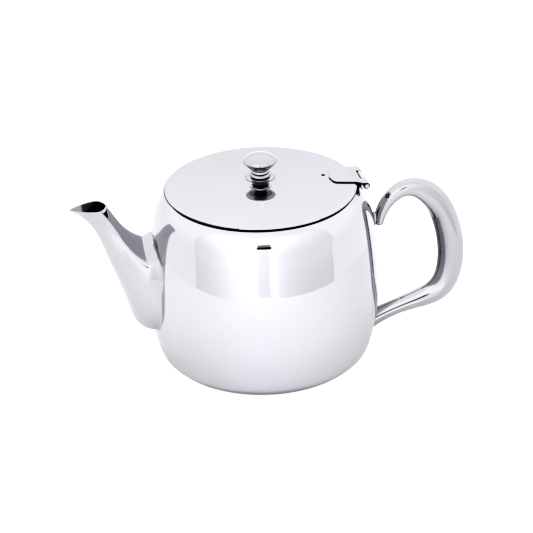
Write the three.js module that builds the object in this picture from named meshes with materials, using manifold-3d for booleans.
// Stainless steel teapot with a hinged lid, shown closed.
// Millimetres, +Z up. Origin: centre of the flat base, on the table plane.
// The spout points along -X, the handle along +X, and the lid hinge axis is parallel to Y.
import * as THREE from "three";
import { mergeVertices } from "three/addons/utils/BufferGeometryUtils.js";
import Module from "manifold-3d";

// ---------------------------------------------------------------- shared dimensions
const SHEET = 0.9; // wall of the body, spout and lid
const FIT = 0.04; // gap between welded or clamped neighbours
const LID_Z = 100.43; // top of the lid panel near its edge
const LID_CROWN = 0.1; // rise of the lid panel at its centre
const SCREW_BORE = 1.65; // radius of the knob screw's clearance hole

// ---------------------------------------------------------------- curves
const { clamp, degToRad } = THREE.MathUtils;

// Point at u (0 to 1) on a clamped uniform cubic B-spline of any dimension.
function bspline(points, u) {
  const degree = 3;
  const count = points.length;
  const knots = Array.from({ length: count + degree + 1 }, (_, i) =>
    clamp((i - degree) / (count - degree), 0, 1));
  let span = degree;
  while (span < count - 1 && u >= knots[span + 1]) span++;
  const blend = points.slice(span - degree, span + 1);
  for (let level = 1; level <= degree; level++) {
    for (let j = degree; j >= level; j--) {
      const i = span - degree + j;
      const width = knots[i + degree - level + 1] - knots[i];
      const weight = width > 0 ? (u - knots[i]) / width : 0;
      blend[j] = blend[j].map((v, axis) => (1 - weight) * blend[j - 1][axis] + weight * v);
    }
  }
  return blend[degree];
}

// n + 1 even steps from 0 to 1.
const spread = (n) => Array.from({ length: n + 1 }, (_, i) => i / n);

// Rises from 0 to 1 as u runs from start to start + length.
const ramp = (u, start, length) => clamp((u - start) / length, 0, 1);

// A sine or cosine reshaped for a superellipse: power 2 is round, more is boxy, less is pointed.
const superTrig = (value, power) => Math.sign(value) * Math.abs(value) ** (2 / power);

// Profile of (radius, z) heights measured from a datum, moved up to that datum.
const raised = (profile, datum) => profile.map(([radius, z]) => [radius, z + datum]);

// ---------------------------------------------------------------- solids
const wasm = await Module();
wasm.setup();

// A closed BufferGeometry as a manifold solid.
function solid(geometry) {
  geometry.deleteAttribute("normal");
  geometry.deleteAttribute("uv");
  const merged = mergeVertices(geometry, 1e-4);
  return new wasm.Manifold(
    new wasm.Mesh({
      numProp: 3,
      vertProperties: new Float32Array(merged.attributes.position.array),
      triVerts: new Uint32Array(merged.index.array),
    }),
  );
}

// A manifold solid as a flat-shaded BufferGeometry.
function geometryOf(piece) {
  const mesh = piece.getMesh();
  const geometry = new THREE.BufferGeometry();
  geometry.setAttribute("position", new THREE.BufferAttribute(mesh.vertProperties, 3));
  geometry.setIndex(new THREE.BufferAttribute(mesh.triVerts, 1));
  const flat = geometry.toNonIndexed();
  flat.computeVertexNormals();
  return flat;
}

// Lathe geometry about Y. The profile is (radius, height), anticlockwise with radius to the
// right; it starts and ends on the axis, or is closed here.
function lathe(profile, segments) {
  const points = profile.map(([radius, height]) => new THREE.Vector2(radius, height));
  if (points[0].x > 0 || points[points.length - 1].x > 0) points.push(points[0].clone());
  return new THREE.LatheGeometry(points, segments);
}

// Turned solid about Z.
const turned = (profile, segments) => solid(lathe(profile, segments).rotateX(Math.PI / 2));

function extrusion(points, depth) {
  const shape = new THREE.Shape(points.map(([across, up]) => new THREE.Vector2(across, up)));
  return new THREE.ExtrudeGeometry(shape, { depth, bevelEnabled: false, steps: 1 });
}

// A polygon in the XZ plane pushed along Y, halfWidth to each side.
function prismXZ(points, halfWidth) {
  const geometry = extrusion(points, 2 * halfWidth);
  geometry.rotateX(Math.PI / 2); // (x, y, z) -> (x, -z, y)
  return solid(geometry.translate(0, halfWidth, 0));
}

// A polygon in the XY plane pushed along Z.
function prismXY(points, zLow, zHigh) {
  return solid(extrusion(points, zHigh - zLow).translate(0, 0, zLow));
}

// Cylinder along X or Z, centred on a point.
function rod(axis, radius, length, segments, centre) {
  const geometry = new THREE.CylinderGeometry(radius, radius, length, segments);
  if (axis === "x") geometry.rotateZ(Math.PI / 2);
  else geometry.rotateX(Math.PI / 2);
  return solid(geometry.translate(...centre));
}

// The two triangles of the quad a, b, c, d, split from a to c.
const quad = (a, b, c, d) => [[a, b, c], [a, c, d]];

// Solid from closed triangles of [x, y, z] points, turned to face outwards if need be.
function solidFromTriangles(triangles) {
  let volume = 0;
  for (const triangle of triangles) {
    const [a, b, c] = triangle.map((point) => new THREE.Vector3(...point));
    volume += a.dot(b.cross(c)) / 6;
  }
  const facing = volume < 0 ? triangles.map(([a, b, c]) => [a, c, b]) : triangles;
  const geometry = new THREE.BufferGeometry();
  geometry.setAttribute("position", new THREE.Float32BufferAttribute(facing.flat(2), 3));
  return solid(geometry);
}

// Tube wall between an outer and an inner grid of points [row][column], closed round the columns.
function tubeWall(outer, inner) {
  const triangles = [];
  const columns = outer[0].length;
  const end = outer.length - 1;
  for (let j = 0; j < columns; j++) {
    const k = (j + 1) % columns;
    for (let i = 0; i < end; i++) {
      triangles.push(...quad(outer[i][j], outer[i][k], outer[i + 1][k], outer[i + 1][j]));
      triangles.push(...quad(inner[i][j], inner[i + 1][j], inner[i + 1][k], inner[i][k]));
    }
    triangles.push(...quad(outer[0][j], inner[0][j], inner[0][k], outer[0][k]));
    triangles.push(...quad(outer[end][j], outer[end][k], inner[end][k], inner[end][j]));
  }
  return solidFromTriangles(triangles);
}

// ---------------------------------------------------------------- body shell
const BODY_SEGMENTS = 48;
const BASE_R = 43.0; // flat underside the pot stands on
const WALL_START_Z = 5.2; // the spline wall takes over from the base curve above this height
const LEDGE_Z = 98.95; // top of the ledge the lid closes onto
const MOUTH_R = 47.0; // inside radius of the turned-down collar
const COLLAR_T = 0.8;
const COLLAR_LOW_Z = LEDGE_Z - 4.2;
const BODY_FILL_Z = 98.6; // top of the filled body at its centre

// Outside of the base: (radius, z).
const BASE_PROFILE = [[BASE_R, 0], [46.8, 0.4], [49.8, 1.5], [52.2, 3.15]];
// Outside of the wall: cubic B-spline control points (radius, z).
const BODY_CONTROL = [
  [0, 0], [25, 0], [52.5, 2.8], [57.2, 6.2],
  [63.7, 38.2], [61.5, 77.3], [56.6, 94.2], [50.2, 98.55],
];
// Where the wall is sampled, as fractions of its own stretch of the spline.
const WALL_STEPS = [
  0, 0.03, 0.065, 0.11, 0.17, 0.25, 0.34, 0.43, 0.52, 0.61, 0.7, 0.79, 0.88, 1,
];
// Ledge and collar, from the top of the wall inwards and back under: (radius, z).
const MOUTH_PROFILE = [
  [49.5, LEDGE_Z - 0.12], [48.6, LEDGE_Z], [47.6, LEDGE_Z - 0.25], [MOUTH_R, LEDGE_Z - 0.85],
  [MOUTH_R, COLLAR_LOW_Z], [MOUTH_R + COLLAR_T, COLLAR_LOW_Z],
  [MOUTH_R + 0.85, LEDGE_Z - 1.15], [48.7, LEDGE_Z - SHEET],
];
// Round holes through the wall behind the spout, in rows from the bottom up.
const STRAINER = {
  rowCounts: [2, 3, 4, 3, 2],
  pitchY: 5.6,
  pitchZ: 5.2,
  lowestZ: 42,
  x: -60,
  radius: 1.6,
  drillLength: 14,
  segments: 8,
};

const wallStart = spread(400).find((u) => bspline(BODY_CONTROL, u)[1] > WALL_START_Z);
const outerProfile = [
  ...BASE_PROFILE,
  ...WALL_STEPS.map((step) => bspline(BODY_CONTROL, wallStart + (1 - wallStart) * step)),
];

// Each profile point moved inwards, square to the line through its neighbours.
function offsetInward(profile, distance) {
  return profile.map(([radius, z], i) => {
    const before = profile[Math.max(i - 1, 0)];
    const after = profile[Math.min(i + 1, profile.length - 1)];
    const dr = after[0] - before[0];
    const dz = after[1] - before[1];
    const length = Math.hypot(dr, dz);
    return [radius - (dz / length) * distance, z + (dr / length) * distance];
  });
}

function makeBody() {
  const innerProfile = offsetInward(outerProfile, SHEET).slice(0, -1).reverse();
  let body = turned(
    [[0, 0], ...outerProfile, ...MOUTH_PROFILE, ...innerProfile, [0, SHEET]],
    BODY_SEGMENTS,
  );
  const { rowCounts, pitchY, pitchZ, lowestZ, x, radius, drillLength, segments } = STRAINER;
  rowCounts.forEach((count, row) => {
    for (let i = 0; i < count; i++) {
      const y = (i - (count - 1) / 2) * pitchY;
      const centre = [x, y, lowestZ + row * pitchZ];
      body = body.subtract(rod("x", radius, drillLength, segments, centre));
    }
  });
  return body;
}

// The body filled solid and grown by the fit, for trimming what is welded to it.
const filledBody = turned(
  [
    [0, -FIT], [BASE_R, -FIT],
    ...outerProfile.slice(1).map(([radius, z]) => [radius + FIT, z]),
    [0, BODY_FILL_Z + FIT],
  ],
  BODY_SEGMENTS,
);

// Cuts a piece to the outside of the body and keeps its largest part.
function trimmedToBody(piece) {
  const parts = piece.subtract(filledBody).decompose();
  return parts.sort((a, b) => b.volume() - a.volume())[0];
}

// ---------------------------------------------------------------- spout
// Control points from inside the body to the mouth: upper and lower rails (x, z), half width.
const SPOUT_TOP = [
  [-55, 83.2], [-55.4, 75.2], [-69.1, 79.9], [-75.9, 88.0], [-76.7, 89.3], [-82.35, 99.3],
];
const SPOUT_LOW = [
  [-57, 26], [-71.4, 26.0], [-73.5, 42.0], [-84.25, 69.4], [-90.1, 91.8], [-102.7, 99.0],
];
const SPOUT_HALF = [[20.8], [18.4], [10.4], [5.4], [6.7]];
// Upper quarter of the section, from the side ridge to the top line: control points as
// fractions of (half width, half depth).
const SPOUT_ROOF = [
  [1, 0], [1, 0.3], [0.975, 0.5], [0.885, 0.61], [0.64, 0.73], [0.36, 0.87], [0.13, 0.985], [0, 1],
];
const SPOUT_ROWS = [0, 0.06, 0.11, 0.16, 0.22, 0.29, 0.37, 0.46, 0.56, 0.66, 0.76, 0.86, 0.94, 1];
const SPOUT_COLUMNS = 32;

// One closed section of the spout at u, drawn in by inset.
function spoutRow(u, inset) {
  const top = bspline(SPOUT_TOP, u);
  const low = bspline(SPOUT_LOW, u);
  const halfWidth = bspline(SPOUT_HALF, u)[0] - inset;
  const half = [(top[0] - low[0]) / 2, (top[1] - low[1]) / 2];
  const halfDepth = Math.hypot(...half);
  const shrink = (halfDepth - inset) / halfDepth;
  const power = 3 - ramp(u, 0, 0.5); // boxy at the root, round from half way
  const skew = 0.04 + 0.5 * ramp(u, 0.55, 0.45) ** 1.5; // widens the top, narrows the bottom
  // How far the upper half follows SPOUT_ROOF: in from the root, half out at the mouth.
  const roofed = ramp(u, 0, 0.14) ** 0.8 * (1 - 0.5 * ramp(u, 0.85, 0.15));
  return Array.from({ length: SPOUT_COLUMNS }, (_, j) => {
    const angle = (2 * Math.PI * j) / SPOUT_COLUMNS;
    let up = superTrig(Math.sin(angle), power);
    let across = superTrig(Math.cos(angle), power);
    if (j > 0 && 2 * j < SPOUT_COLUMNS) {
      const turn = (4 * j) / SPOUT_COLUMNS;
      const [roofAcross, roofUp] = bspline(SPOUT_ROOF, turn > 1 ? 2 - turn : turn);
      up += (roofUp - up) * roofed;
      across += ((turn > 1 ? -roofAcross : roofAcross) - across) * roofed;
    }
    across *= 1 + skew * up;
    return [
      (top[0] + low[0]) / 2 + half[0] * up * shrink,
      halfWidth * across,
      (top[1] + low[1]) / 2 + half[1] * up * shrink,
    ];
  });
}

function makeSpout() {
  const grid = (inset) => SPOUT_ROWS.map((u) => spoutRow(u, inset));
  return trimmedToBody(tubeWall(grid(0), grid(SHEET)));
}

// ---------------------------------------------------------------- handle
const HANDLE_SHEET = 0.8;
const HANDLE_COLUMNS = 16;
const HANDLE_STEPS = 24;
const HANDLE_ROUND = 2.3; // length of the rounded start
const HANDLE_ROUND_ANGLES = [0.4, 0.8, 1.2]; // radians from the tip
// Control points from the upper root to the lower foot: x, z, in-plane half thickness.
const HANDLE_RAIL = [
  [64.3, 71.6, 2.75], [65.6, 80.6, 3.6], [77.6, 93.5, 4.1], [92.77, 85.9, 6.39],
  [100.37, 73.56, 6.98], [105.6, 52.06, 7.52], [102.95, 31.64, 7.1], [93.84, 22.5, 6.69],
  [71.24, 19.47, 3.55], [56.6, 11.6, 5.2],
];
// Ellipsoid that joins the upper end to the wall of the pot.
const PAD = { radii: [1.75, 2.3, 3.9], centre: [61.9, 0, 73.6], segments: [12, 8] };

// One closed section of the handle at u, drawn in by inset, scaled, and set back along the rail.
function handleRow(u, inset, scale = 1, back = 0) {
  const [railX, railZ, halfThickness] = bspline(HANDLE_RAIL, u);
  const before = bspline(HANDLE_RAIL, Math.max(u - 1e-3, 0));
  const after = bspline(HANDLE_RAIL, Math.min(u + 1e-3, 1));
  const dx = after[0] - before[0];
  const dz = after[1] - before[1];
  const length = Math.hypot(dx, dz);
  const alongX = dx / length;
  const alongZ = dz / length;
  const thick = (halfThickness - inset) * scale;
  const wide = (0.55 * halfThickness + 2.2 - inset) * scale;
  // The half on the inside of the loop turns boxy after the root, then a blunt wedge.
  const innerPower = 2 + 0.7 * ramp(u, 0.06, 0.2) - 1.2 * ramp(u, 0.3, 0.12);
  return Array.from({ length: HANDLE_COLUMNS }, (_, j) => {
    const angle = (2 * Math.PI * j) / HANDLE_COLUMNS;
    const power = Math.cos(angle) < -1e-9 ? innerPower : 2;
    const out = thick * superTrig(Math.cos(angle), power);
    return [
      railX - alongZ * out - alongX * back,
      wide * superTrig(Math.sin(angle), power),
      railZ + alongX * out - alongZ * back,
    ];
  });
}

// The handle as a closed loft with a rounded start and a flat end, drawn in by inset.
function handleLoft(inset) {
  const round = HANDLE_ROUND - inset;
  const rows = [
    ...HANDLE_ROUND_ANGLES.map((q) => handleRow(0, inset, Math.sin(q), round * Math.cos(q))),
    ...spread(HANDLE_STEPS).map((u) => handleRow(u, inset)),
  ];
  const tip = handleRow(0, inset, 0, round)[0];
  const last = rows[rows.length - 1];
  const end = [0, 1, 2].map((axis) =>
    last.reduce((sum, point) => sum + point[axis] / HANDLE_COLUMNS, 0));
  const triangles = [];
  for (let j = 0; j < HANDLE_COLUMNS; j++) {
    const k = (j + 1) % HANDLE_COLUMNS;
    triangles.push([tip, rows[0][k], rows[0][j]]);
    for (let i = 0; i + 1 < rows.length; i++) {
      triangles.push(...quad(rows[i][j], rows[i][k], rows[i + 1][k], rows[i + 1][j]));
    }
    triangles.push([end, last[j], last[k]]);
  }
  return solidFromTriangles(triangles);
}

function makeHandle() {
  const pad = new THREE.SphereGeometry(1, ...PAD.segments);
  pad.scale(...PAD.radii);
  pad.translate(...PAD.centre);
  return trimmedToBody(handleLoft(0).add(solid(pad)).subtract(handleLoft(HANDLE_SHEET)));
}

// ---------------------------------------------------------------- lid
const LID_SEGMENTS = 48;
const LID_R = 51.35;
const LID_SKIRT_Z = 99.5; // lower edge of the turned-down rim
const CROWN_R = 49.5; // radius where the crown has fallen to LID_Z
const CROWN_STEP_R = 25; // profile point part way out
// Rounded edge, from the outside inwards: (radius, z).
const LID_EDGE = [
  [LID_R, LID_Z - 0.9], [51.0, LID_Z - 0.5], [50.45, LID_Z - 0.2], [49.6, LID_Z - 0.01],
];
const SCREW_HOLE = { x: 0, y: 0, radius: SCREW_BORE, segments: 16 };
const STEAM_HOLE = { x: 35.0, y: 4.2, radius: 1.1, segments: 12 };
const LID_DRILL_LENGTH = 6;
const RING_R = 46.2; // outside radius of the locating ring
const RING_LOW_Z = 95.2;
const RING_TOP_Z = LID_Z - SHEET - FIT - 0.02;
const RING_T = 0.8;
const RING_BEVEL = 0.4;
const RING_FLANGE_R = 42.0; // inside radius of the ring's flange

const lidTop = (radius) => LID_Z + LID_CROWN * (1 - (radius / CROWN_R) ** 2);

function makeLid() {
  const crown = [[0, lidTop(0)], [CROWN_STEP_R, lidTop(CROWN_STEP_R)]];
  let lid = turned(
    [
      ...raised(crown, -SHEET), [49.3, LID_Z - SHEET],
      [LID_R - SHEET, LID_SKIRT_Z], [LID_R, LID_SKIRT_Z],
      ...LID_EDGE, ...crown.reverse(),
    ],
    LID_SEGMENTS,
  );
  for (const { x, y, radius, segments } of [SCREW_HOLE, STEAM_HOLE]) {
    lid = lid.subtract(rod("z", radius, LID_DRILL_LENGTH, segments, [x, y, LID_Z]));
  }
  return lid;
}

// Locating ring under the lid: a hanging band with a flange turned in at its top.
function makeLidRing() {
  return turned(
    [
      [RING_R - RING_T, RING_LOW_Z], [RING_R, RING_LOW_Z],
      [RING_R, RING_TOP_Z - RING_BEVEL], [RING_R - RING_BEVEL, RING_TOP_Z],
      [RING_FLANGE_R, RING_TOP_Z], [RING_FLANGE_R, RING_TOP_Z - RING_T],
      [RING_R - RING_T, RING_TOP_Z - RING_T],
    ],
    LID_SEGMENTS,
  );
}

// ---------------------------------------------------------------- hinge
const AXIS_X = 55.2;
const AXIS_Z = 98.5;
const KNUCKLE_R = 1.8;
const KNUCKLE_BORE = 0.9; // radius
const KNUCKLE_SEGMENTS = 24;
const HINGE_BORE_SEGMENTS = 16;
const PIN_R = 0.8;
const PIN_SEGMENTS = 16;
const LEAF_HALF = 11.0; // half width of the leaf at its knuckles
const LEAF_FRONT_X = 37.2; // end of the leaf nearest the knob
const LEAF_T = 0.9;
const NOTCH_X = 53.0; // start of the leaf's notch for the fixed knuckle
const NOTCH_END_X = 60; // clear of the leaf
const NOTCH_HALF = 5.1;
const FIXED_HALF = 4.8; // half width of the fixed knuckle
const CUT_LOW_Z = 90; // height range of cuts that clear the whole leaf
const CUT_HIGH_Z = 110;

// Side view of the leaf: along its top to the knuckle, then back underneath (x, z).
const LEAF_SIDE = [
  [LEAF_FRONT_X, LID_Z + 0.12 + LEAF_T], [49.3, LID_Z + 0.06 + LEAF_T], [51.8, LID_Z + 0.48],
  [AXIS_X - 0.4, AXIS_Z + KNUCKLE_R - 0.04], [AXIS_X, AXIS_Z + KNUCKLE_R],
  [AXIS_X, AXIS_Z + KNUCKLE_BORE + 0.05], [AXIS_X - 0.8, AXIS_Z + KNUCKLE_BORE + 0.15],
  [51.7, LID_Z - 0.42], [49.2, LID_Z + 0.06], [LEAF_FRONT_X, LID_Z + 0.12],
];
// Plan of the leaf's +Y half, from beyond the knuckle to near the tip (x, y).
const LEAF_PLAN_HALF = [
  [AXIS_X + 3, LEAF_HALF], [52.5, LEAF_HALF], [49.8, 10.35], [41.2, 7.95],
  [39.2, 6.9], [38.0, 5.2], [37.4, 3.0],
];
const LEAF_PLAN_TIP = [37.22, 0];
// Side view of the web from the fixed knuckle down to the body (x, z).
const BRACKET_SIDE = [
  [AXIS_X - 0.9, AXIS_Z - 1.0], [AXIS_X - 1.6, 94.0], [55, 91.6], [57.6, 91.6],
  [57.5, 93.4], [57.1, 94.9], [AXIS_X + 1.75, AXIS_Z - 0.3],
];
// The pin's headed end: (radius, distance from the pin's middle).
const PIN_END = [[PIN_R, 11.08], [1.5, 11.08], [1.5, 11.35], [1.1, 11.62], [0, 11.65]];

// Cylinder on the hinge axis.
function hingeRod(radius, segments, halfWidth) {
  const circle = Array.from({ length: segments }, (_, i) => {
    const angle = (2 * Math.PI * i) / segments;
    return [AXIS_X + radius * Math.cos(angle), AXIS_Z + radius * Math.sin(angle)];
  });
  return prismXZ(circle, halfWidth);
}
const hingeBore = hingeRod(KNUCKLE_BORE, HINGE_BORE_SEGMENTS, 20);

function makeLeaf() {
  const mirrored = LEAF_PLAN_HALF.map(([x, y]) => [x, -y]).reverse();
  const plan = [...LEAF_PLAN_HALF, LEAF_PLAN_TIP, ...mirrored];
  const notch = [
    [NOTCH_X, CUT_LOW_Z], [NOTCH_END_X, CUT_LOW_Z],
    [NOTCH_END_X, CUT_HIGH_Z], [NOTCH_X, CUT_HIGH_Z],
  ];
  return prismXZ(LEAF_SIDE, LEAF_HALF + 1)
    .add(hingeRod(KNUCKLE_R, KNUCKLE_SEGMENTS, LEAF_HALF))
    .intersect(prismXY(plan, CUT_LOW_Z, CUT_HIGH_Z))
    .subtract(hingeBore)
    .subtract(prismXZ(notch, NOTCH_HALF));
}

// Fixed knuckle with its web down to the body.
function makeBracket() {
  const bracket = hingeRod(KNUCKLE_R, KNUCKLE_SEGMENTS, FIXED_HALF)
    .add(prismXZ(BRACKET_SIDE, FIXED_HALF))
    .subtract(hingeBore);
  return trimmedToBody(bracket);
}

function makePin() {
  const lowerEnd = PIN_END.map(([radius, y]) => [radius, -y]).reverse();
  return solid(lathe([...lowerEnd, ...PIN_END], PIN_SEGMENTS).translate(AXIS_X, 0, AXIS_Z));
}

// ---------------------------------------------------------------- knob
// Profiles are (radius, height above the seat on the lid) unless noted.
const KNOB_SEGMENTS = 24;
const SEAT_Z = lidTop(0);
const LID_UNDER_Z = SEAT_Z - SHEET;
const FOOT_TOP = 3.1;
const FLANGE_TOP = 4.4;
const CAP_R = 8.87;
const CAP_BORE = 2.68; // radius of the socket over the stem's spigot
const DOME_BASE = 14.45; // height where the cap's dome springs
const DOME_RISE = 3.85;
const DOME_ANGLES = [14, 28, 42, 56, 72]; // degrees
const WASHER_DROP = 0.84; // underside of the washer below the lid
const SCREW_R = 1.5;
const SCREW_SEGMENTS = 16;
const SCREW_HEAD_DROP = 3.0; // bottom of the head below the lid
const SLOT_SIZE = [7, 0.7, 1.2];

const FOOT_PROFILE = [
  [SCREW_BORE, FIT], [5.6, FIT], [5.65, 0.45], [4.4, 0.85], [3.3, 1.6], [2.9, 2.5],
  [2.95, FOOT_TOP], [SCREW_BORE, FOOT_TOP],
];
const FLANGE_PROFILE = [
  [SCREW_BORE, FOOT_TOP + FIT], [3.6, FOOT_TOP + FIT], [6.2, 4.1], [7.75, 4.9], [8.0, 5.15],
  [7.75, 5.37], [5.3, 5.62], [4.95, 5.5], [4.75, FLANGE_TOP], [SCREW_BORE, FLANGE_TOP],
];
const STEM_PROFILE = [
  [SCREW_BORE, FLANGE_TOP + FIT], [4.3, FLANGE_TOP + FIT], [4.5, 4.7], [4.1, 5.1], [4.1, 5.6],
  [4.5, 5.9], [5.2, 6.1], [5.35, 6.5], [5.2, 7.1], [4.7, 7.6], [4.3, 7.8], [4.3, 8.0],
  [4.65, 8.15], [4.85, 8.5], [4.75, 9.0], [4.4, 9.5], [4.1, 9.7], [4.1, 9.8],
  [2.6, 9.8], [2.6, 12.4], [0, 12.4], [0, 9.6], [SCREW_BORE, 9.4],
];
const CAP_PROFILE = [
  [CAP_BORE, 9.85], [4.5, 9.85], [4.9, 10.0], [5.82, 10.75], [7.33, 12.4], [8.4, 13.7],
  [8.8, 14.2], [CAP_R, 14.5],
  ...DOME_ANGLES.map(degToRad).map((angle) =>
    [CAP_R * Math.cos(angle), DOME_BASE + DOME_RISE * Math.sin(angle)]),
  [0, DOME_BASE + DOME_RISE], [0, 12.9], [CAP_BORE, 12.9],
];
// Heights from the underside of the lid.
const WASHER_PROFILE = [
  [SCREW_BORE, -WASHER_DROP], [4.5, -WASHER_DROP], [4.5, -FIT], [SCREW_BORE, -FIT],
];
const SCREW_HEAD_PROFILE = [
  [0, -SCREW_HEAD_DROP], [1.9, -2.9], [2.6, -2.3],
  [2.8, -WASHER_DROP - FIT], [SCREW_R, -WASHER_DROP - FIT],
];
const SCREW_TIP_PROFILE = [[SCREW_R, 8.9], [0, 9.1]]; // from the seat

const knobPart = (profile, datum = SEAT_Z) => turned(raised(profile, datum), KNOB_SEGMENTS);

// Slotted screw up through the washer, lid, foot and flange into the stem.
function makeScrew() {
  const profile = [
    ...raised(SCREW_HEAD_PROFILE, LID_UNDER_Z),
    ...raised(SCREW_TIP_PROFILE, SEAT_Z),
  ];
  const slot = new THREE.BoxGeometry(...SLOT_SIZE);
  slot.translate(0, 0, LID_UNDER_Z - SCREW_HEAD_DROP);
  return turned(profile, SCREW_SEGMENTS).subtract(solid(slot));
}

// ---------------------------------------------------------------- the teapot
const steel = ({ color, roughness }) =>
  new THREE.MeshStandardMaterial({ color, roughness, metalness: 1 });
const mirrorSteel = () => steel({ color: 0xe6e7ec, roughness: 0.08 });
const satinSteel = () => steel({ color: 0xc9cbd0, roughness: 0.3 });

function put(group, name, piece, material) {
  const mesh = new THREE.Mesh(geometryOf(piece), material);
  mesh.name = name;
  group.add(mesh);
}

const teapot = new THREE.Group();
teapot.name = "teapot";
const pot = new THREE.Group();
const lidAssembly = new THREE.Group();
teapot.add(pot, lidAssembly);

put(pot, "body_shell", makeBody(), mirrorSteel());
put(pot, "spout", makeSpout(), mirrorSteel());
put(pot, "handle", makeHandle(), mirrorSteel());
put(pot, "hinge_bracket", makeBracket(), mirrorSteel());
put(pot, "hinge_pin", makePin(), satinSteel());
put(lidAssembly, "lid_panel", makeLid(), mirrorSteel());
put(lidAssembly, "lid_ring", makeLidRing(), satinSteel());
put(lidAssembly, "hinge_leaf", makeLeaf(), mirrorSteel());
put(lidAssembly, "knob_foot", knobPart(FOOT_PROFILE), mirrorSteel());
put(lidAssembly, "knob_flange", knobPart(FLANGE_PROFILE), mirrorSteel());
put(lidAssembly, "knob_stem", knobPart(STEM_PROFILE), mirrorSteel());
put(lidAssembly, "knob_cap", knobPart(CAP_PROFILE), mirrorSteel());
put(lidAssembly, "knob_washer", knobPart(WASHER_PROFILE, LID_UNDER_Z), satinSteel());
put(lidAssembly, "knob_screw", makeScrew(), satinSteel());

export default teapot;
